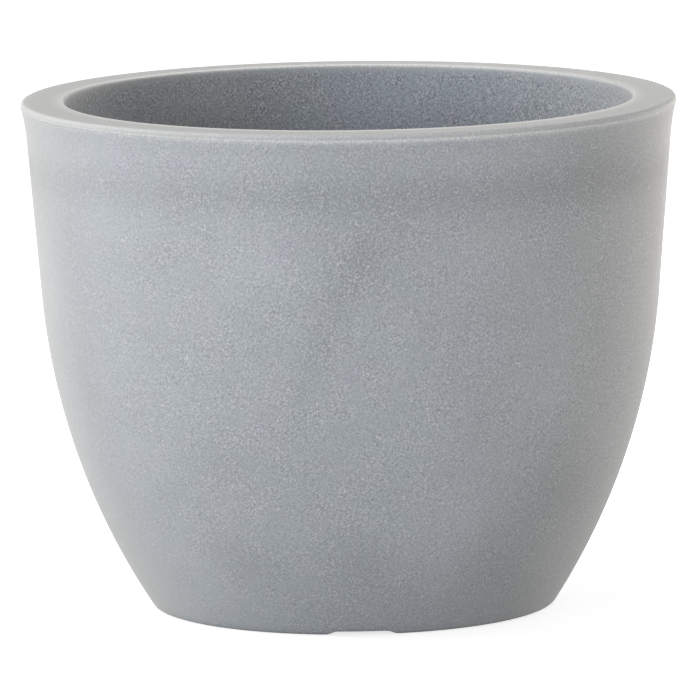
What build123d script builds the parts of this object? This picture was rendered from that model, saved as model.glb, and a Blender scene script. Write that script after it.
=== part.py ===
from build123d import *
from math import cos, radians, sin, sqrt, tan
import os

# Round plastic flower pot, rotationally moulded in one piece: a thin wall that runs from the raised
# base over a hollow foot ring, up a curved belly and a drafted side, turns over a flat rim and comes
# back down inside as a skirt. A rubber plug closes the drain hole in the base.
# Millimetres, +Z up, origin at the centre of the foot's contact plane.

# Overall size
pot_height = 396.0
rim_diameter = 508.0
rim_width = 34.0            # flat rim, from its outer edge to the mouth
base_diameter = 312.0       # where the belly would meet the ground without its corner rounding
wall = 4.5                  # thickness of the moulding

# Side wall, from the top down
wall_draft = 4.54           # degrees from vertical on the straight side
shoulder_height = 245.8     # the straight side turns into the belly arc here
flare = 1.8                 # how far the lip under the rim stands out from the straight side
flare_height = 24.8         # how far below the lip the flare starts
lip_step = 0.7              # the lip is set in from the rim band by this much

# Rim band and the parting groove under it
band_height = 5.4
groove_height = 1.0
groove_depth = 0.8          # measured in from the lip
rim_edge_radius = 3.2
band_edge_radius = 0.8
lip_edge_radius = 0.4

# Inner skirt that comes straight down from the rim, so the mouth is one clear bore
skirt_depth = 66.0
mouth_edge_radius = 2.4
rim_back_radius = 6.0       # inside corners under the rim

# Foot ring and raised base
base_recess = 12.0          # height of the base's underside above the ground
foot_ring_width = 30.0      # from the belly's foot point inwards
recess_slope = 25.0         # degrees from vertical on the foot ring's inner side
base_corner_radius = 6.0
foot_inner_radius = 4.0
recess_radius = 3.0
moat_radius = 5.0           # inside corners of the hollow foot ring
floor_edge_radius = 6.0

# Drainage notches across the foot ring
notch_count = 4
notch_depth = 3.0
notch_width = 41.0          # across the notch's flat top
notch_flank = 5.2           # width of each sloping side
notch_rounding = 2.5

# Drain hole and its plug
drain_diameter = 24.0
plug_clearance = 0.1        # radial gap between plug barrel and hole
plug_flange_overlap = 8.0   # how far the flange covers the floor around the hole
plug_flange_thickness = 3.0
plug_flange_radius = 1.2
plug_reach = 6.0            # barrel length below the base
plug_wall = 3.0
plug_nose_chamfer = 1.5
plug_top_thickness = 4.0    # solid depth under the flange's top before the core starts
plug_rib_height = 1.6
plug_rib_gap = 1.6
plug_rib_depth = 0.7
grip_width = 5.0
grip_height = 7.0
grip_inset = 6.0            # from the flange's edge to the end of the grip
grip_radius = 2.0

# Radii and heights that follow
rim_r = rim_diameter / 2
mouth_r = rim_r - rim_width
base_r = base_diameter / 2
draft = radians(wall_draft)
band_z = pot_height - band_height
lip_z = band_z - groove_height
lip_r = rim_r - lip_step
flare_z = lip_z - flare_height
floor_z = base_recess + wall
foot_inner_r = base_r - foot_ring_width
recess_r = foot_inner_r - base_recess * tan(radians(recess_slope))


def side_radius(z):
    """Outer radius of the straight drafted side at height z."""
    return lip_r - flare - (lip_z - z) * tan(draft)


# The belly is one arc, tangent to the straight side at the shoulder, that ends at the base's edge.
shoulder_r = side_radius(shoulder_height)
chord_r = base_r - shoulder_r
chord_z = -shoulder_height
belly_arc = (chord_r ** 2 + chord_z ** 2) / (2 * (chord_z * sin(draft) - chord_r * cos(draft)))
belly_centre_r = shoulder_r - belly_arc * cos(draft)
belly_centre_z = shoulder_height + belly_arc * sin(draft)


def belly_radius(z, inset=0.0):
    """Radius of the belly at height z, on its outer face or a given inset inside it."""
    return belly_centre_r + sqrt((belly_arc - inset) ** 2 - (z - belly_centre_z) ** 2)


def round_corners(face, corners):
    """Rounds the profile's vertex nearest to each (r, z) point."""
    for r, z, radius in corners:
        corner = face.vertices().sort_by_distance((r, z))[0]
        face = fillet(corner, radius)
    return face


def turned(profile):
    """A solid of revolution from a profile drawn as (r, z)."""
    return revolve(Plane.XZ * profile, Axis.Z)


def outer_form():
    """The pot's outside as a solid: underside, foot ring, belly, side, groove, band and rim."""
    down = (-sin(draft), -cos(draft))
    up = (sin(draft), cos(draft))
    shoulder = (shoulder_r, shoulder_height)
    foot = (base_r, 0)
    lip = (lip_r, lip_z)
    flare_foot = (side_radius(flare_z), flare_z)
    groove_r = lip_r - groove_depth
    underside = Polyline((0, base_recess), (recess_r, base_recess), (foot_inner_r, 0), foot)
    belly = TangentArc(shoulder, foot, tangent=down)
    side = Line(shoulder, flare_foot)
    lip_flare = TangentArc(flare_foot, lip, tangent=up)
    rim = Polyline(lip, (groove_r, lip_z), (groove_r, band_z), (rim_r, band_z),
                   (rim_r, pot_height), (0, pot_height), (0, base_recess))
    profile = make_face(underside + belly + side + lip_flare + rim)
    profile = round_corners(profile, [
        (recess_r, base_recess, recess_radius),
        (foot_inner_r, 0, foot_inner_radius),
        (base_r, 0, base_corner_radius),
        (lip_r, lip_z, lip_edge_radius),
        (rim_r, band_z, band_edge_radius),
        (rim_r, pot_height, rim_edge_radius),
    ])
    return turned(profile)


def cavity():
    """The space inside: the mouth, the room behind the skirt, the belly and the hollow foot ring."""
    normal = (cos(draft), -sin(draft))
    shoulder = (shoulder_r - wall * normal[0], shoulder_height - wall * normal[1])
    moat_outer = (belly_radius(wall, wall), wall)
    step = wall / cos(radians(recess_slope)) - wall * tan(radians(recess_slope))
    moat_inner = (foot_inner_r + step, wall)
    floor_edge = (moat_inner[0] - base_recess * tan(radians(recess_slope)), floor_z)
    under_rim = pot_height - wall
    side_top = (side_radius(under_rim) - wall / cos(draft), under_rim)
    skirt_z = pot_height - skirt_depth
    back_top = (mouth_r + wall, under_rim)
    back_foot = (mouth_r + wall, skirt_z)
    above = pot_height + wall
    floor = Polyline((0, floor_z), floor_edge, moat_inner, moat_outer)
    belly = TangentArc(shoulder, moat_outer, tangent=(-sin(draft), -cos(draft)))
    top = Polyline(shoulder, side_top, back_top, back_foot, (mouth_r, skirt_z),
                   (mouth_r, pot_height), (rim_r, pot_height), (rim_r, above), (0, above), (0, floor_z))
    profile = make_face(floor + belly + top)
    profile = round_corners(profile, [
        (*floor_edge, floor_edge_radius),
        (*moat_inner, moat_radius),
        (*moat_outer, moat_radius),
        (*side_top, rim_back_radius),
        (*back_top, rim_back_radius),
        (mouth_r, pot_height, mouth_edge_radius),
    ])
    return turned(profile)


def notch_section(thickness=0.0):
    """Section across a notch, open to the ground, or grown by the wall that stays above it."""
    half_top = notch_width / 2
    half_foot = half_top + notch_flank
    outline = Polyline((-half_foot, -wall), (-half_foot, 0), (-half_top, notch_depth),
                       (half_top, notch_depth), (half_foot, 0), (half_foot, -wall), close=True)
    section = round_corners(make_face(outline), [
        (-half_top, notch_depth, notch_rounding), (half_top, notch_depth, notch_rounding)])
    return offset(section, amount=thickness, kind=Kind.ARC) if thickness else section


def across_foot(section):
    """One radial bar of the given section for each notch."""
    bar = extrude(Plane.XZ * section, amount=rim_r)
    return [Rot(0, 0, i * 360 / notch_count) * bar for i in range(notch_count)]


def pot_shell():
    """Outside less cavity, with each notch raised through the foot ring at the same wall thickness."""
    hollow = cavity()
    for bar in across_foot(notch_section(wall)):
        hollow -= bar
    shell = outer_form() - hollow
    for bar in across_foot(notch_section()):
        shell -= bar
    drain = Pos(0, 0, floor_z) * Cylinder(drain_diameter / 2, 2 * floor_z)
    return shell - drain


def drain_plug():
    """Mushroom plug: a flange on the floor, a ribbed hollow barrel in the hole and a grip bar."""
    barrel_r = drain_diameter / 2 - plug_clearance
    flange_r = drain_diameter / 2 + plug_flange_overlap
    flange_top = floor_z + plug_flange_thickness
    nose_z = base_recess - plug_reach
    core_r = barrel_r - plug_wall
    core_z = flange_top - plug_top_thickness
    profile = make_face(Polyline(
        (0, core_z), (core_r, core_z), (core_r, nose_z), (barrel_r - plug_nose_chamfer, nose_z),
        (barrel_r, nose_z + plug_nose_chamfer), (barrel_r, floor_z), (flange_r, floor_z),
        (flange_r, flange_top), (0, flange_top), (0, core_z)))
    profile = round_corners(profile, [(flange_r, flange_top, plug_flange_radius)])
    plug = turned(profile)
    pitch = plug_rib_height + plug_rib_gap
    groove = Cylinder(flange_r, plug_rib_gap) - Cylinder(barrel_r - plug_rib_depth, plug_rib_gap)
    first = nose_z + plug_nose_chamfer + plug_rib_height + plug_rib_gap / 2
    rows = int((floor_z - plug_rib_height - first) / pitch) + 1
    for i in range(rows):
        plug -= Pos(0, 0, first + i * pitch) * groove
    grip_length = 2 * (flange_r - grip_inset)
    grip = extrude(SlotOverall(grip_length, grip_width), amount=grip_height)
    grip = fillet(grip.faces().sort_by(Axis.Z)[-1].edges(), grip_radius)
    return plug + Pos(0, 0, flange_top) * grip


def main():
    os.makedirs("parts", exist_ok=True)
    parts = {"pot_shell": pot_shell(), "drain_plug": drain_plug()}
    for name, shape in parts.items():
        export_step(shape, f"parts/{name}.step")
        size = shape.bounding_box().size
        print(name, "volume cm3", round(shape.volume / 1000, 1), "size", [round(v, 2) for v in size])


main()
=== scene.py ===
import math
import bpy
import numpy as np
from mathutils import Matrix, Vector


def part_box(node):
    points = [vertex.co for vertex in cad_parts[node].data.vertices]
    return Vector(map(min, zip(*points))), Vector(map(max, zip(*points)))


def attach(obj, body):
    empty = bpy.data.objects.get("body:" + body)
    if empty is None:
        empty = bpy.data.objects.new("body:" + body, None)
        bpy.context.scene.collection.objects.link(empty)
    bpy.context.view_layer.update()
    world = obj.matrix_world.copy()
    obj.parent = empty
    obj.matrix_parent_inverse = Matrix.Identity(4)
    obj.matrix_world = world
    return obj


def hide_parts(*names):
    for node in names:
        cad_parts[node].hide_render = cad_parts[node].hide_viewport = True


# Stone grey flower pot, rotationally moulded. The shell is one turned surface with the four drainage
# notches raised in its foot, and the rubber plug keeps its CAD mesh.
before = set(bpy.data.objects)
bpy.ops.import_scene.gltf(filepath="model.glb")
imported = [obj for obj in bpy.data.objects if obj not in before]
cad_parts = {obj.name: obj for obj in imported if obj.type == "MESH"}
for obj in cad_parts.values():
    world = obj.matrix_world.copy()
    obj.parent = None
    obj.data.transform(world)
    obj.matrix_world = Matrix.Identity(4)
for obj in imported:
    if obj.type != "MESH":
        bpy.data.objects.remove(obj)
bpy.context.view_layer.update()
mm = 0.001
print("frame loaded:", ", ".join(sorted(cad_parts)))


# Shared helpers

# An sRGB hex colour as linear red, green, blue and alpha.
def hexColour(code):
    values = np.array([int(code[i:i + 2], 16) for i in (1, 3, 5)]) / 255
    linear = np.where(values <= 0.04045, values / 12.92, ((values + 0.055) / 1.055) ** 2.4)
    return (*linear.tolist(), 1.0)


# Adds a node with its settings. Each input is a value, or another node's socket that is linked to it.
def addNode(tree, kind, inputs=None, **settings):
    node = tree.nodes.new(kind)
    for name, value in settings.items():
        setattr(node, name, value)
    for name, value in (inputs or {}).items():
        if isinstance(value, bpy.types.NodeSocket):
            tree.links.new(value, node.inputs[name])
        else:
            node.inputs[name].default_value = value
    return node


def newMaterial(name):
    material = bpy.data.materials.new(name)
    material.use_nodes = True
    material.node_tree.nodes.clear()
    return material, material.node_tree


def newObject(name, data):
    piece = bpy.data.objects.new(name, data)
    bpy.context.scene.collection.objects.link(piece)
    return piece


# Smaller of two fields with a rounded corner, blend wide: min(a, b) - h * h * blend / 4,
# where h = max(blend - |a - b|, 0) / blend.
def roundedMin(a, b, blend):
    h = np.maximum(blend - np.abs(a - b), 0) / blend
    return np.minimum(a, b) - h * h * blend / 4


# Points of the arc that leaves start in a direction and ends at end:
# start + radius * (sin(turn) * direction + (1 - cos(turn)) * normal).
def tangentArc(start, direction, end, spacing):
    start, end = np.array(start, float), np.array(end, float)
    direction = np.array(direction, float) / np.hypot(*direction)
    normal = np.array([-direction[1], direction[0]])
    chord = end - start
    along, aside = chord @ direction, chord @ normal
    radius = (chord @ chord) / (2 * aside)
    whole = 2 * math.atan2(aside, along)
    steps = max(2, round(abs(whole * radius) / spacing))
    turn = np.linspace(0, whole, steps + 1)[:, None]
    return start + radius * (np.sin(turn) * direction + (1 - np.cos(turn)) * normal)


# Rounds the corners of a closed outline of rows (r, z, radius, other values). A corner's arc starts
# radius * tan(turn / 2) before it and is swept round its centre in equal steps. Long runs get points too.
def roundOutline(rows, cornerStep, longestRun):
    rounded = []
    for last, corner, following in zip(np.roll(rows, 1, 0), rows, np.roll(rows, -1, 0)):
        arriving, leaving = corner[:2] - last[:2], following[:2] - corner[:2]
        arriving, leaving = arriving / np.hypot(*arriving), leaving / np.hypot(*leaving)
        turn = math.atan2(arriving[0] * leaving[1] - arriving[1] * leaving[0], arriving @ leaving)
        if corner[2] == 0 or abs(turn) < 1e-3:   # nothing to round
            rounded.append(corner[None])
            continue
        side = math.copysign(corner[2], turn) * np.array([-arriving[1], arriving[0]])
        centre = corner[:2] - arriving * corner[2] * math.tan(abs(turn) / 2) + side
        swept = np.linspace(0, turn, max(2, math.ceil(abs(turn) / cornerStep)) + 1)[:, None]
        spoke = -side
        arc = centre + np.cos(swept) * spoke + np.sin(swept) * np.array([-spoke[1], spoke[0]])
        rounded.append(np.hstack([arc, np.tile(corner[2:], (len(arc), 1))]))
    rounded = np.vstack(rounded)
    filled = []
    for point, following in zip(rounded, np.roll(rounded, -1, 0)):
        pieces = max(1, math.ceil(np.hypot(*(following[:2] - point[:2])) / longestRun))
        share = np.arange(pieces)[:, None] / pieces
        filled.append(point + share * (following - point))
    return np.vstack(filled)


# A mesh from a grid of points that closes on itself both ways: rows go round the section, columns go
# round the pot, and each cell is one four-sided face.
def closedGrid(name, points, values, sharpFrom):
    rows, columns = points.shape[:2]
    row, column = np.meshgrid(np.arange(rows), np.arange(columns), indexing="ij")
    nextRow, nextColumn = (row + 1) % rows, (column + 1) % columns
    faces = np.stack([row * columns + column, row * columns + nextColumn,
                      nextRow * columns + nextColumn, nextRow * columns + column], -1).reshape(-1, 4)
    flat = points.reshape(-1, 3)
    a, b, c, d = (flat[faces[:, i]] for i in range(4))
    if np.einsum("ij,ij->", np.cross(c - a, d - b), a) < 0:   # six times the enclosed volume, with its sign
        faces = faces[:, ::-1]
    mesh = bpy.data.meshes.new(name)
    mesh.vertices.add(len(flat))
    mesh.vertices.foreach_set("co", flat.astype(np.float32).ravel())
    mesh.loops.add(faces.size)
    mesh.loops.foreach_set("vertex_index", faces.astype(np.int32).ravel())
    mesh.polygons.add(len(faces))
    mesh.polygons.foreach_set("loop_start", np.arange(0, faces.size, 4, dtype=np.int32))
    mesh.polygons.foreach_set("loop_total", np.full(len(faces), 4, np.int32))
    mesh.update(calc_edges=True)
    mesh.validate()
    mesh.shade_smooth()
    mesh.set_sharp_from_angle(angle=math.radians(sharpFrom))
    for label, field in values.items():
        attribute = mesh.attributes.new(label, "FLOAT", "POINT")
        attribute.data.foreach_set("value", field.astype(np.float32).ravel())
    return newObject(name, mesh)


# The pot. Lengths are millimetres, radius and height are measured from the foot's centre on the ground,
# and the rim's diameter and the height come from the frame.
pot = dict(
    wall=4.5,
    rimWidth=34.0,           # flat rim, from its outer edge to the mouth
    rimEdge=3.2,             # rounding of the rim's outer edge
    mouthEdge=2.4,
    flatOuter=9.0,           # the rim's smooth flat starts this far in from its outer edge
    flatInner=5.0,           # and ends this far out from the mouth
    bandHeight=5.4,
    bandEdge=0.8,
    grooveHeight=0.5,        # the parting line, scraped nearly flush
    grooveDepth=0.2,
    grooveEdge=0.05,
    lipStep=0.7,             # the lip is set in from the rim band
    lipEdge=0.1,
    flare=1.8,               # how far the lip stands out from the straight side
    flareHeight=25.3,
    draft=4.54,              # degrees from vertical
    shoulderHeight=245.8,    # the straight side turns into the belly here
    footRadius=156.0,
    footEdge=6.0,
    footRing=30.0,
    footInner=4.0,
    recess=12.0,             # height of the base's underside
    recessSlope=25.0,        # degrees from vertical
    recessEdge=3.0,
    moatEdge=5.0,
    floorEdge=6.0,
    skirtDepth=66.0,
    skirtEdge=1.0,
    underRim=6.0,            # inside corners under the rim
    holeRadius=12.0,
    holeEdge=0.4,
    mouldLine=8.0,           # the mould's grain starts this far down the skirt
)
notch = dict(
    count=4,
    depth=3.0,
    width=41.0,              # across the flat top
    flank=5.2,               # width of each sloping side
    rounding=1.4,            # how wide a corner blends at the top of a flank
    insideTimes=3,           # the same corner inside is this many times wider
    footRounding=1.8,
)
# How much of the mould's grain shows on each part of the outside, where 1 is as much as on the belly.
mouldGrain = dict(underLip=0.9, lip=0.8, groove=0.6, band=0.7, rimEdge=0.45, flat=0.2, mouth=0.3, skirt=1.55)
detail = dict(
    cornerStep=15.0,         # degrees between the points of a rounded corner
    curveSpacing=8.0,        # points along the belly
    flareSpacing=4.8,
    lipPoint=0.3,            # one more point, this share of the last step below the lip
    longestRun=9.5,
    roundStep=1.5,           # degrees between columns
    notchStep=0.35,
    notchGap=0.3,            # least step between the coarse columns and the fine ones
    notchFrom=7.2,           # degrees either side of a notch where the fine columns are
    notchTo=13.6,
    freeWave=0.3,            # unevenness of the faces that no mould touched
    waveFrom=30.0,           # it starts above the hollow foot
    seat=26.0,               # the floor round the hole stays flat to here for the plug's flange
    skirtAside=2.0,          # a point this near the mouth's cylinder
    skirtBelow=1.0,          # and no further under the skirt's foot belongs to the skirt
    sharpFrom=38.0,          # degrees between faces that show as an edge
)
# Those uneven faces' slow waves: how many round the pot, millimetres up it for each radian, where the
# wave starts, and its share.
freeWaves = [(3, 61, 0, 1.0), (7, -37, 1.3, 1.0), (16, 19, 0.4, 0.5)]


# The wall's section as a closed outline, anticlockwise from the hole: (r, z, rounding, grain, free).
# Grain is how much of the sandblasted mould shows there, free is 1 where the plastic met no mould.
def wallSection(rimRadius, potHeight):
    p, grain = pot, mouldGrain
    wall, draft = p["wall"], math.radians(p["draft"])
    up, out = np.array([math.sin(draft), math.cos(draft)]), np.array([math.cos(draft), -math.sin(draft)])
    mouth, band = rimRadius - p["rimWidth"], potHeight - p["bandHeight"]
    lip = np.array([rimRadius - p["lipStep"], band - p["grooveHeight"]])
    flareFoot = lip - [p["flare"] + p["flareHeight"] * math.tan(draft), p["flareHeight"]]
    shoulder = flareFoot - up * (flareFoot[1] - p["shoulderHeight"]) / up[1]
    foot = np.array([p["footRadius"], 0.0])
    belly = tangentArc(shoulder, -up, foot, detail["curveSpacing"])[::-1]
    flare = tangentArc(flareFoot, up, lip, detail["flareSpacing"])
    underLip = lip * (1 - detail["lipPoint"]) + flare[-2] * detail["lipPoint"]
    groove = lip[0] - p["grooveDepth"]
    slope = math.tan(math.radians(p["recessSlope"]))
    ringInner = p["footRadius"] - p["footRing"]
    outside = [
        (p["holeRadius"], p["recess"], p["holeEdge"], 1, 0),
        (ringInner - p["recess"] * slope, p["recess"], p["recessEdge"], 1, 0),
        (ringInner, 0, p["footInner"], 1, 0),
        (*foot, p["footEdge"], 1, 0),
        *[(r, z, 0, 1, 0) for r, z in belly[1:]],
        *[(r, z, 0, 1, 0) for r, z in flare[:-1]],
        (*underLip, 0, grain["underLip"], 0),
        (*lip, p["lipEdge"], grain["lip"], 0),
        (groove, lip[1], p["grooveEdge"], grain["groove"], 0),
        (groove, band, p["grooveEdge"], grain["groove"], 0),
        (rimRadius, band, p["bandEdge"], grain["band"], 0),
        (rimRadius, potHeight, p["rimEdge"], grain["rimEdge"], 0),
        (rimRadius - p["flatOuter"], potHeight, 0, grain["flat"], 0),
        (mouth + p["flatInner"], potHeight, 0, grain["flat"], 0),
        (mouth, potHeight, p["mouthEdge"], grain["mouth"], 0),
        (mouth, potHeight - p["mouldLine"], 0, 1, 0),
        (mouth, potHeight - p["skirtDepth"], p["skirtEdge"], 1, 0),
    ]
    underRim = potHeight - wall
    sideTop = flareFoot + up * (underRim - flareFoot[1]) / up[1] - [wall / math.cos(draft), 0]
    innerShoulder = shoulder - out * wall
    centre, radius = arcCentre(belly)
    moatOuter = np.array([centre[0] + math.sqrt((radius - wall) ** 2 - (wall - centre[1]) ** 2), wall])
    innerBelly = tangentArc(innerShoulder, -up, moatOuter, detail["curveSpacing"])
    step = wall / math.cos(math.radians(p["recessSlope"])) - wall * slope
    inside = [
        (mouth + wall, potHeight - p["skirtDepth"], p["skirtEdge"], 1, 1),
        (mouth + wall, underRim, p["underRim"], 1, 1),
        (*sideTop, p["underRim"], 1, 1),
        *[(r, z, 0, 1, 1) for r, z in innerBelly[:-1]],
        (*moatOuter, p["moatEdge"], 1, 1),
        (ringInner + step, wall, p["moatEdge"], 1, 1),
        (ringInner + step - p["recess"] * slope, p["recess"] + wall, p["floorEdge"], 1, 1),
        (p["holeRadius"], p["recess"] + wall, p["holeEdge"], 1, 1),
    ]
    return np.array(outside + inside, float)


# Centre and radius of the circle through an arc's first, middle and last points.
def arcCentre(arc):
    a, b, c = arc[0], arc[len(arc) // 2], arc[-1]
    system = 2 * np.array([b - a, c - a])
    centre = np.linalg.solve(system, [b @ b - a @ a, c @ c - a @ a])
    return centre, float(np.hypot(*(a - centre)))


# Angles of the columns round the pot, in radians: coarse steps, with fine ones beside each notch.
def columnAngles():
    d = detail
    half = 180 / notch["count"]   # degrees from a notch to halfway to the next
    fine = np.arange(d["notchFrom"], d["notchTo"], d["notchStep"])
    middle = np.arange(0, d["notchFrom"] - d["notchGap"], d["roundStep"])
    coarse = np.linspace(d["notchTo"], half, round((half - d["notchTo"]) / d["roundStep"]) + 1)
    side = np.concatenate([middle, fine, coarse])
    oneNotch = np.concatenate([-side[:0:-1], side[:-1]])
    return np.radians((oneNotch + 2 * half * np.arange(notch["count"])[:, None]).ravel())


# The shell is the section turned round the axis: x = r cos(angle), y = r sin(angle). In each notch the
# outside rises to roundedMin(depth, flank line), and the inside to the same lines one wall higher.
def makeShell():
    _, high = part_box("pot_shell")
    rimRadius, potHeight = high[0] / mm, high[2] / mm
    section = roundOutline(wallSection(rimRadius, potHeight), math.radians(detail["cornerStep"]),
                           detail["longestRun"])
    angle = columnAngles()
    radius, height, _, grain, free = (section[:, i:i + 1] + 0 * angle for i in range(5))
    free = np.round(free)   # 0 or 1, with no values between them
    turned = 2 * math.pi / notch["count"]
    fromNotch = (angle + turned / 2) % turned - turned / 2
    across = np.abs(radius * np.sin(fromNotch))
    pitch = notch["depth"] / notch["flank"]
    flankLine = pitch * (notch["width"] / 2 + notch["flank"] - across)
    outer = roundedMin(np.full_like(across, notch["depth"]), flankLine, notch["rounding"])
    raised = -roundedMin(-height, -outer, notch["footRounding"])
    grown = pot["wall"] * math.hypot(1, pitch)
    inner = roundedMin(np.full_like(across, notch["depth"] + pot["wall"]), flankLine + grown,
                       notch["insideTimes"] * notch["rounding"])
    lifted = np.where(free == 1, np.maximum(height, inner), np.maximum(raised, height))
    height = np.where(height < pot["recess"], lifted, height)
    # The free faces wander in and out by a sum of share * sin(turns * angle + height / rise + start).
    wave = sum(np.sin(turns * angle + height / rise + start) * share
               for turns, rise, start, share in freeWaves)
    wave = wave * detail["freeWave"] / sum(share for *_, share in freeWaves)
    radius = radius - wave * free * (radius > detail["seat"]) * (height > detail["waveFrom"])
    points = np.stack([radius * np.cos(angle), radius * np.sin(angle), height], -1) * mm
    fromFront = degreesFromFront(angle) + 0 * height
    skirt = np.abs(radius - rimRadius + pot["rimWidth"]) < detail["skirtAside"]
    skirt &= height > potHeight - pot["skirtDepth"] - detail["skirtBelow"]
    # The cloud field also carries painted shade: darker on the lit left, round the right, below the flare and
    # along the foot.
    field = {
        "grain": grain * np.where(skirt, mouldGrain["skirt"],
                                  1 + softPatches(fromFront, height, thinGrain)),
        # The edge field is scraped wear, and painted highlight along the mouth and the rim's outer edge.
        "free": free, "edge": edgeWearAndHighlight(section, angle),
        "cloudAndShade": np.where(skirt, softPatches(fromFront, height, skirtClouds),
                          softPatches(fromFront, height, sideCloudsAndShade) * (free == 0)),
        "cool": np.where(skirt, softPatches(fromFront, height, skirtCool),
                         softPatches(fromFront, height, sideCool)),
    }
    shell = closedGrid("potShell", points, field, detail["sharpFrom"])
    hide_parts("pot_shell")
    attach(shell, "pot")
    return shell


# The front faces -Y, so an angle from +X counts from it as angle + 90 degrees.
def degreesFromFront(angle):
    return np.degrees(angle) + 90


# Pale edges: the scraped parting line under the band is wear, the mouth's pale line is painted highlight,
# and the rim's outer edge is rubbing and painted highlight. Columns: millimetres from the edge into the
# plastic, millimetres above it, reach and strength.
wornAndHighlitEdges = dict(mouth=(2.6, 0, 3.0, 1.0), rim=(1.2, -1.2, 2.4, 0.45), band=(0.1, 0.2, 1.6, 0.8))


# Wear and painted highlight of the edges: the largest strength * exp(-(distance / reach)^2) of these
# edges, times what the patches leave of it.
def edgeWearAndHighlight(section, angle):
    rimRadius, potHeight = section[:, 0].max(), section[:, 1].max()
    mouth = rimRadius - pot["rimWidth"]
    edges = dict(mouth=(mouth, potHeight, 1), rim=(rimRadius, potHeight, -1),
                 band=(rimRadius, potHeight - pot["bandHeight"], -1))
    wearAndHighlight = np.zeros(len(section))
    for name, (r, z, inwards) in edges.items():
        into, above, reach, strength = wornAndHighlitEdges[name]
        away = np.hypot(section[:, 0] - (r + inwards * into), section[:, 1] - (z + above))
        wearAndHighlight = np.maximum(wearAndHighlight, strength * np.exp(-(away / reach) ** 2))
    wearAndHighlight = wearAndHighlight[:, None] + 0 * angle
    outer = section[:, 0:1] > mouth + pot["rimWidth"] / 2
    fromFront = degreesFromFront(angle)
    thinner = np.where(outer, softPatches(fromFront, 0 * wearAndHighlight, thinWearAndHighlight),
                       softPatches(fromFront, 0 * wearAndHighlight, thinMouthWearAndHighlight))
    return wearAndHighlight * (1 + thinner)


# Soft patches as a sum of strength * exp(-(turn / wide)^2 - (rise / tall)^2), where turn and rise are the
# degrees and millimetres from a patch's middle, and lean shifts the turn by so much for each of rise.
# Each patch comes again half a turn round, so that the back is as cloudy as the front.
def softPatches(fromFront, height, patches):
    half = 180.0
    total = np.zeros_like(height)
    for middle, level, wide, tall, lean, strength in patches:
        rise = height - level
        turn = (fromFront - middle - lean * rise + half / 2) % half - half / 2
        total += strength * np.exp(-(turn / wide) ** 2 - (rise / tall) ** 2)
    return total


allRound = 999      # degrees: a patch as wide as this goes all the way round
allHeights = 900    # millimetres: and one as tall as this from the foot to the rim

# Where the powder melted unevenly, together with painted shade on the lit left side, where the light turns
# to shade round the right, in a band below the flare and along the foot: degrees from the front towards +X,
# height, half width in degrees, half height, lean, and how much lighter or darker. The last one paints shade
# along the foot's edge.
sideCloudsAndShade = [
    (0, 348, allRound, 16, 0, -0.14), (60, 340, 36, 24, 0, -0.09), (19, 372, 12, 9, 0, 0.06),
    (48, 370, 20, 14, 0, -0.07), (45, 100, 13, 36, 0, -0.11), (0, 64, 8, 22, 0, -0.1),
    (-16, 376, 14, 8, 0, 0.03), (0, 300, 4.5, 34, 0.15, -0.13), (-6, 248, 3.5, 26, 0.1, -0.08),
    (-11, 206, 2.8, 30, 0.05, -0.08), (-27, 233, 12, 5, 0, -0.05), (-18, 296, 9, 26, 0, 0.14),
    (-19, 330, 12, 12, 0, 0.06), (23, 304, 10, 18, 0, 0.04), (6, 242, 3, 24, 0, 0.05),
    (20, 250, 8, 7, 0, -0.05), (-38, 188, 10, 16, 0, 0.04), (9, 160, 9, 30, 0, 0.04),
    (17, 94, 10, 26, 0, 0.04), (36, 192, 6, 24, 0, 0.04), (-30, 140, 8, 20, 0, -0.08),
    (-27, 62, 8, 18, 0, -0.08), (-50, 38, 7, 14, 0, -0.06), (23, 170, 3, 20, 0.1, -0.06),
    (-50, 296, 8, 14, 0, -0.04), (37, 50, 12, 36, 0, -0.13), (4, 30, 22, 30, 0, -0.09),
    (50, 232, 5, 26, 0, -0.05), (43, 150, 5, 26, 0, -0.05), (-64, 240, 12, 150, 0, -0.1),
    (70, 300, 10, 90, 0, -0.09), (75, 305, 9, 40, 0, -0.06), (-62, 190, 8, 90, 0, -0.04),
    (-45, 105, 10, 24, 0, -0.05), (48, 22, 8, 20, 0, -0.08), (20, 318, 10, 12, 0, -0.04),
    # painted shade along the foot's edge
    (0, 0, allRound, 1.6, 0, -0.4),
]
skirtClouds = [
    (-12, 372, 26, 30, 0, 0.2), (14, 372, 8, 30, 0, -0.1), (32, 375, 9, 16, 0, 0.08),
    (32, 345, 9, 12, 0, -0.1), (-25, 350, 7, 14, 0, -0.08), (62, 372, 10, 10, 0, 0.05),
]
# Where the grey is bluer, on the side and on the skirt.
sideCool = [
    (-52, 200, 26, allHeights, 0, 0.5), (-14, 200, 26, allHeights, 0, 0.5),
    (20, 200, 26, allHeights, 0, 0.45),
]
skirtCool = [
    (-9, 372, 34, allHeights, 0, 1.0), (-55, 372, 30, allHeights, 0, 0.6),
    (50, 372, 30, allHeights, 0, 0.15),
]
# Where the grain is thinner, and the painted highlight and wear at the outer edge and the mouth are weaker.
thinGrain = [
    (-70, 200, 28, allHeights, 0, -0.45), (0, 0, allRound, 90, 0, -0.2), (0, 396, allRound, 60, 0, -0.12),
]
thinWearAndHighlight = [(-75, 0, 50, allHeights, 0, -0.75)]
thinMouthWearAndHighlight = [(90, 0, 55, allHeights, 0, -0.7)]
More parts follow.
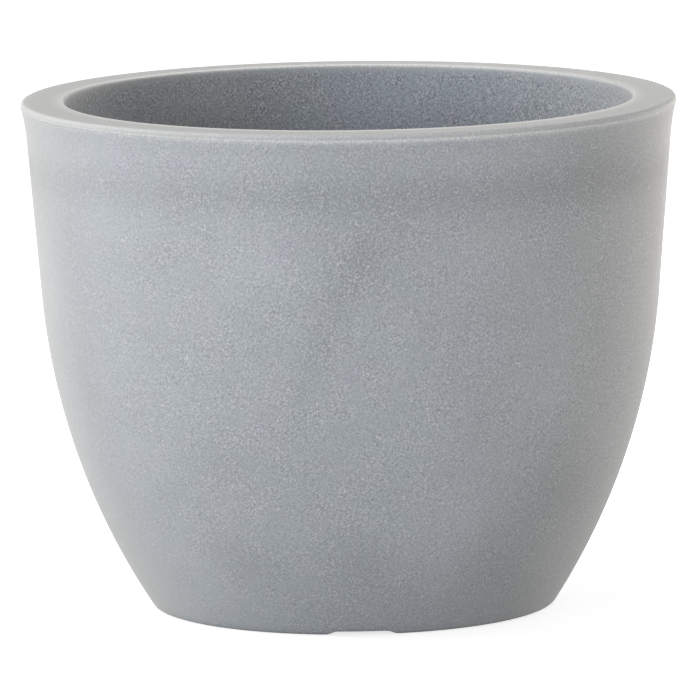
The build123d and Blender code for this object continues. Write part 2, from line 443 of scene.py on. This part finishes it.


# Rotomoulded polyethylene, moulded in a sandblasted tool: a matt skin with fine pale and dark grains,
# slow cloudy patches where the powder melted unevenly, painted shade laid into those patches, pale rubbed
# edges with painted highlight along the mouth and the rim's outer edge, and a faint waxy sheen at a
# glancing angle.
stone = dict(
    neutral="#a8a8a7",
    cool="#9ba4ad",          # bluish areas
    lilac="#a3a2ae",         # small patches in them
    pale="#cbced1",          # grains that caught more white
    dark="#74787d",
    rim="#a5a7a6",           # the rim's flat is smoother and a little lighter
    # the same pale paints a highlight along the mouth and the rim's outer edge
    wornAndHighlight="#ecedeb",          # edges that were scraped and rubbed
    free="#8f9398",          # inner faces that no mould touched
    grain=1.5,               # millimetres, drawn coarser than the real grit so that it shows
    sprinkle=17.0,           # patches of denser and thinner grain
    blotch=34.0,             # the lilac patches
    patch=95.0,              # the slow drift from darker to lighter
    turned=(0.62, 0.41, 0.9),    # radians, so that no axis of the noise lies along the pot's
    lilacNoise=(0.5, 0.72),      # the noise values where a patch, grain or wear starts and is full
    lilacMost=0.8,
    driftNoise=(0.3, 0.7),
    drift=(0.955, 1.035),
    rimGrain=(0.6, 0.2),         # between these shares of grain the side's colour turns to the rim's
    sprinkleNoise=(0.36, 0.64),
    sprinkled=(0.7, 1.3),        # share of the grain in a thin and in a dense patch
    paleNoise=(0.51, 0.75),
    paleMost=0.6,
    darkNoise=(0.5, 0.25),
    darkMost=0.5,
    wearAndHighlightNoise=(0.4, 0.62),
    wearAndHighlightLeast=0.6,               # share of the wear between the grains
    roughNoise=(0.3, 0.7),
    roughness=0.62,
    roughSpread=0.06,
    bumpShare=0.25,
    bumpDepth=0.3,               # millimetres
    ior=1.51,
)


def sandblastedPolyethylene():
    s = stone
    material, tree = newMaterial("sandblastedPolyethylene")
    straight = addNode(tree, "ShaderNodeTexCoord").outputs["Object"]
    place = addNode(tree, "ShaderNodeMapping", {"Vector": straight, "Rotation": s["turned"]}).outputs[0]
    grainShare = addNode(tree, "ShaderNodeAttribute", attribute_name="grain").outputs["Fac"]
    edgeWearAndHighlightShare = addNode(tree, "ShaderNodeAttribute", attribute_name="edge").outputs["Fac"]
    freeShare = addNode(tree, "ShaderNodeAttribute", attribute_name="free").outputs["Fac"]
    cloudAndShadeShare = addNode(tree, "ShaderNodeAttribute", attribute_name="cloudAndShade").outputs["Fac"]
    coolShare = addNode(tree, "ShaderNodeAttribute", attribute_name="cool").outputs["Fac"]

    fine = addNode(tree, "ShaderNodeTexNoise", {
        "Vector": place, "Scale": 1 / (s["grain"] * mm), "Detail": 1.0, "Roughness": 0.5}).outputs["Fac"]
    patches = addNode(tree, "ShaderNodeTexNoise", {
        "Vector": place, "Scale": 1 / (s["patch"] * mm), "Detail": 3.0, "Roughness": 0.55}).outputs["Fac"]
    sprinkle = addNode(tree, "ShaderNodeTexNoise", {
        "Vector": place, "Scale": 1 / (s["sprinkle"] * mm), "Detail": 2.0, "Roughness": 0.5}).outputs["Fac"]
    blotches = addNode(tree, "ShaderNodeTexNoise", {
        "Vector": place, "Scale": 1 / (s["blotch"] * mm), "Detail": 2.0, "Roughness": 0.6}).outputs["Fac"]

    # Grey, bluer where it is cool, with lilac patches in that, and all of it lighter and darker in clouds,
    # which also carry painted shade.
    tint = addNode(tree, "ShaderNodeMix", {
        0: coolShare, 6: hexColour(s["neutral"]), 7: hexColour(s["cool"])}, data_type="RGBA").outputs[2]
    lilacMask = addNode(tree, "ShaderNodeMapRange", {
        "Value": blotches, "From Min": s["lilacNoise"][0], "From Max": s["lilacNoise"][1],
        "To Max": s["lilacMost"]}).outputs[0]
    lilacShare = addNode(tree, "ShaderNodeMath", {
        0: lilacMask, 1: coolShare}, operation="MULTIPLY").outputs[0]
    tinted = addNode(tree, "ShaderNodeMix", {
        0: lilacShare, 6: tint, 7: hexColour(s["lilac"])}, data_type="RGBA").outputs[2]
    drifting = addNode(tree, "ShaderNodeMapRange", {
        "Value": patches, "From Min": s["driftNoise"][0], "From Max": s["driftNoise"][1],
        "To Min": s["drift"][0], "To Max": s["drift"][1]}).outputs[0]
    cloudAndShade = addNode(tree, "ShaderNodeMath", {0: drifting, 1: cloudAndShadeShare}, operation="ADD").outputs[0]
    cloudedAndShaded = addNode(tree, "ShaderNodeVectorMath", {0: tinted, "Scale": cloudAndShade}, operation="SCALE").outputs[0]

    # The rim's smoother flat and the faces that met no mould.
    rimShare = addNode(tree, "ShaderNodeMapRange", {
        "Value": grainShare, "From Min": s["rimGrain"][0], "From Max": s["rimGrain"][1]}).outputs[0]
    onRim = addNode(tree, "ShaderNodeMix", {
        0: rimShare, 6: cloudedAndShaded, 7: hexColour(s["rim"])}, data_type="RGBA").outputs[2]
    onFree = addNode(tree, "ShaderNodeMix", {
        0: freeShare, 6: onRim, 7: hexColour(s["free"])}, data_type="RGBA").outputs[2]

    # Pale and dark grains, then the rubbed edges, with painted highlight along the mouth and the rim's outer
    # edge.
    dense = addNode(tree, "ShaderNodeMapRange", {
        "Value": sprinkle, "From Min": s["sprinkleNoise"][0], "From Max": s["sprinkleNoise"][1],
        "To Min": s["sprinkled"][0], "To Max": s["sprinkled"][1]}).outputs[0]
    grained = addNode(tree, "ShaderNodeMath", {0: dense, 1: grainShare}, operation="MULTIPLY").outputs[0]
    paleMask = addNode(tree, "ShaderNodeMapRange", {
        "Value": fine, "From Min": s["paleNoise"][0], "From Max": s["paleNoise"][1],
        "To Max": s["paleMost"]}).outputs[0]
    paleShare = addNode(tree, "ShaderNodeMath", {0: paleMask, 1: grained}, operation="MULTIPLY").outputs[0]
    darkMask = addNode(tree, "ShaderNodeMapRange", {
        "Value": fine, "From Min": s["darkNoise"][0], "From Max": s["darkNoise"][1],
        "To Max": s["darkMost"]}).outputs[0]
    darkShare = addNode(tree, "ShaderNodeMath", {0: darkMask, 1: grained}, operation="MULTIPLY").outputs[0]
    withPale = addNode(tree, "ShaderNodeMix", {
        0: paleShare, 6: onFree, 7: hexColour(s["pale"])}, data_type="RGBA").outputs[2]
    withDark = addNode(tree, "ShaderNodeMix", {
        0: darkShare, 6: withPale, 7: hexColour(s["dark"])}, data_type="RGBA").outputs[2]
    wearAndHighlightGrain = addNode(tree, "ShaderNodeMapRange", {
        "Value": fine, "From Min": s["wearAndHighlightNoise"][0], "From Max": s["wearAndHighlightNoise"][1],
        "To Min": s["wearAndHighlightLeast"], "To Max": 1.0}).outputs[0]
    wearAndHighlightShare = addNode(tree, "ShaderNodeMath", {0: edgeWearAndHighlightShare, 1: wearAndHighlightGrain}, operation="MULTIPLY").outputs[0]
    colour = addNode(tree, "ShaderNodeMix", {
        0: wearAndHighlightShare, 6: withDark, 7: hexColour(s["wornAndHighlight"])}, data_type="RGBA").outputs[2]

    rough = addNode(tree, "ShaderNodeMapRange", {
        "Value": fine, "From Min": s["roughNoise"][0], "From Max": s["roughNoise"][1],
        "To Min": s["roughness"] - s["roughSpread"], "To Max": s["roughness"] + s["roughSpread"]}).outputs[0]
    bump = addNode(tree, "ShaderNodeBump", {
        "Height": fine, "Strength": s["bumpShare"], "Distance": s["bumpDepth"] * mm}).outputs[0]
    shader = addNode(tree, "ShaderNodeBsdfPrincipled", {
        "Base Color": colour, "Roughness": rough, "Normal": bump, "IOR": s["ior"]})
    addNode(tree, "ShaderNodeOutputMaterial", {"Surface": shader.outputs[0]})
    return material


# Moulded EPDM rubber: nearly black, matt, with a thin bloom that greys it in patches.
rubber = dict(
    black="#242527",
    bloom="#3b3c3d",
    patch=9.0,               # millimetres across a patch of bloom
    pores=0.8,
    bloomNoise=(0.42, 0.68),     # the noise values where a patch starts and is full
    roughness=0.7,
    bumpShare=0.3,
    bumpDepth=0.1,               # millimetres
    ior=1.52,
)


def mouldedRubber():
    material, tree = newMaterial("mouldedRubber")
    place = addNode(tree, "ShaderNodeTexCoord").outputs["Object"]
    patches = addNode(tree, "ShaderNodeTexNoise", {
        "Vector": place, "Scale": 1 / (rubber["patch"] * mm), "Detail": 3.0}).outputs["Fac"]
    pores = addNode(tree, "ShaderNodeTexNoise", {
        "Vector": place, "Scale": 1 / (rubber["pores"] * mm), "Detail": 2.0}).outputs["Fac"]
    share = addNode(tree, "ShaderNodeMapRange", {
        "Value": patches, "From Min": rubber["bloomNoise"][0],
        "From Max": rubber["bloomNoise"][1]}).outputs[0]
    colour = addNode(tree, "ShaderNodeMix", {
        0: share, 6: hexColour(rubber["black"]), 7: hexColour(rubber["bloom"])}, data_type="RGBA").outputs[2]
    bump = addNode(tree, "ShaderNodeBump", {
        "Height": pores, "Strength": rubber["bumpShare"],
        "Distance": rubber["bumpDepth"] * mm}).outputs[0]
    shader = addNode(tree, "ShaderNodeBsdfPrincipled", {
        "Base Color": colour, "Roughness": rubber["roughness"], "Normal": bump, "IOR": rubber["ior"]})
    addNode(tree, "ShaderNodeOutputMaterial", {"Surface": shader.outputs[0]})
    return material


# Studio. The pale floor reads as white where the camera sees it. Near the pot a part of its light is
# still reflected, so that the pot's shadow stays on it, and further out it is plain white.
studio = dict(
    floorHalf=9.0,
    floorDrop=0.0002,
    floorColour="#c9c9c9",
    cameraColour="#bcbcbc",
    nearGlow=0.74,
    nearRadius=0.3,
    farRadius=0.75,
    worldLevel=0.47,
    lampSize=1.1,
    lampAway=2.3,
    white="#ffffff",
    warm="#fff9f4",
    # azimuth from the front towards the right, elevation, watts, colour
    lamps=dict(
        frontLeft=(-45, 5, 20.0, "white"),
        frontRight=(45, 5, 13.0, "white"),
        highLeft=(-75, 45, 17.0, "white"),
        leftEdge=(-105, 5, 18.0, "white"),
        highBackLeft=(-135, 45, 22.0, "warm"),
        rightEdge=(135, 5, 21.0, "warm"),
        back=(165, 5, 14.0, "warm"),
    ),
)


# The share of rays that only look: 1 for camera, glossy and transmission rays, 0 for light on the pot.
def lookingRays(tree):
    path = addNode(tree, "ShaderNodeLightPath").outputs
    either = addNode(tree, "ShaderNodeMath", {0: path["Is Camera Ray"], 1: path["Is Glossy Ray"]},
                     operation="MAXIMUM").outputs[0]
    return addNode(tree, "ShaderNodeMath", {0: either, 1: path["Is Transmission Ray"]},
                   operation="MAXIMUM").outputs[0]


# One square under the pot, plain paper to every ray but the looking ones.
def makeFloor():
    half, drop = studio["floorHalf"], -studio["floorDrop"]
    mesh = bpy.data.meshes.new("studioFloor")
    mesh.from_pydata([(-half, -half, drop), (half, -half, drop), (half, half, drop), (-half, half, drop)],
                     [], [(0, 1, 2, 3)])
    floor = newObject("studioFloor", mesh)
    material, tree = newMaterial("studioPaper")
    looking = lookingRays(tree)
    plain = addNode(tree, "ShaderNodeBsdfDiffuse", {"Color": hexColour(studio["floorColour"])}).outputs[0]
    catcher = addNode(tree, "ShaderNodeBsdfDiffuse", {"Color": hexColour(studio["cameraColour"])}).outputs[0]
    place = addNode(tree, "ShaderNodeTexCoord").outputs["Object"]
    away = addNode(tree, "ShaderNodeVectorMath", {0: place}, operation="LENGTH").outputs["Value"]
    level = addNode(tree, "ShaderNodeMapRange", {
        "Value": away, "From Min": studio["nearRadius"], "From Max": studio["farRadius"],
        "To Min": studio["nearGlow"], "To Max": 1.0}, interpolation_type="SMOOTHSTEP").outputs[0]
    glow = addNode(tree, "ShaderNodeEmission", {"Strength": level}).outputs[0]
    white = addNode(tree, "ShaderNodeAddShader", {0: catcher, 1: glow}).outputs[0]
    seen = addNode(tree, "ShaderNodeMixShader", {0: looking, 1: plain, 2: white}).outputs[0]
    addNode(tree, "ShaderNodeOutputMaterial", {"Surface": seen})
    mesh.materials.append(material)


# A soft world and square lamps on a sphere round the pot's middle, each turned towards it.
def makeLights():
    world = bpy.data.worlds.new("studioWorld")
    bpy.context.scene.world = world
    world.use_nodes = True
    tree = world.node_tree
    tree.nodes.clear()
    level = addNode(tree, "ShaderNodeMapRange", {
        "Value": lookingRays(tree), "To Min": studio["worldLevel"], "To Max": 1.0}).outputs[0]
    sky = addNode(tree, "ShaderNodeBackground", {"Strength": level}).outputs[0]
    addNode(tree, "ShaderNodeOutputWorld", {"Surface": sky})
    _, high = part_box("pot_shell")
    middle = Vector((0, 0, high[2] / 2))
    for name, (azimuth, elevation, watts, tone) in studio["lamps"].items():
        a, e = math.radians(azimuth), math.radians(elevation)
        away = Vector((math.sin(a) * math.cos(e), -math.cos(a) * math.cos(e), math.sin(e)))
        lamp = bpy.data.lights.new(name, "AREA")
        lamp.size = studio["lampSize"]
        lamp.energy = watts
        lamp.color = hexColour(studio[tone])[:3]
        holder = newObject(name, lamp)
        holder.location = middle + away * studio["lampAway"]
        holder.rotation_euler = (-away).to_track_quat("-Z", "Y").to_euler()


# Camera of the photograph, worked out from the pot's outline in it.
view = dict(
    frame=696,               # the picture's width in pixels
    sensor=36,               # millimetres
    focal=8651.8,            # focal length in pixels
    shift=(-3.37, 1.37),     # pixels
    away=6.731,              # metres
    elevation=8.225,         # degrees
    turn=2.05,               # degrees towards -X
    roll=-0.694,
    target=0.198,            # metres above the ground
)


# Looks at the target from a turn and an elevation, rolled about its own line of sight.
def makeCamera():
    v = view
    a, e = math.radians(v["turn"]), math.radians(v["elevation"])
    target = Vector((0, 0, v["target"]))
    back = Vector((-math.sin(a) * math.cos(e), -math.cos(a) * math.cos(e), math.sin(e)))
    camera = bpy.data.cameras.new("photoCamera")
    camera.sensor_width = v["sensor"]
    camera.lens = v["focal"] * camera.sensor_width / v["frame"]
    camera.shift_x, camera.shift_y = (shift / v["frame"] for shift in v["shift"])
    holder = newObject("photoCamera", camera)
    holder.location = target + back * v["away"]
    aim = (-back).to_track_quat("-Z", "Y").to_matrix().to_4x4()
    holder.rotation_euler = (aim @ Matrix.Rotation(math.radians(v["roll"]), 4, "Z")).to_euler()
    bpy.context.scene.camera = holder


makeCamera()
makeFloor()
makeLights()
print("studio ready:", len(studio["lamps"]), "lamps")

shell = makeShell()
shell.data.materials.append(sandblastedPolyethylene())
print("shell ready:", len(shell.data.polygons), "faces")

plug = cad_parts["drain_plug"]
plug.data.materials.clear()
plug.data.materials.append(mouldedRubber())
print("plug ready")

bpy.context.scene.view_settings.view_transform = "Standard"
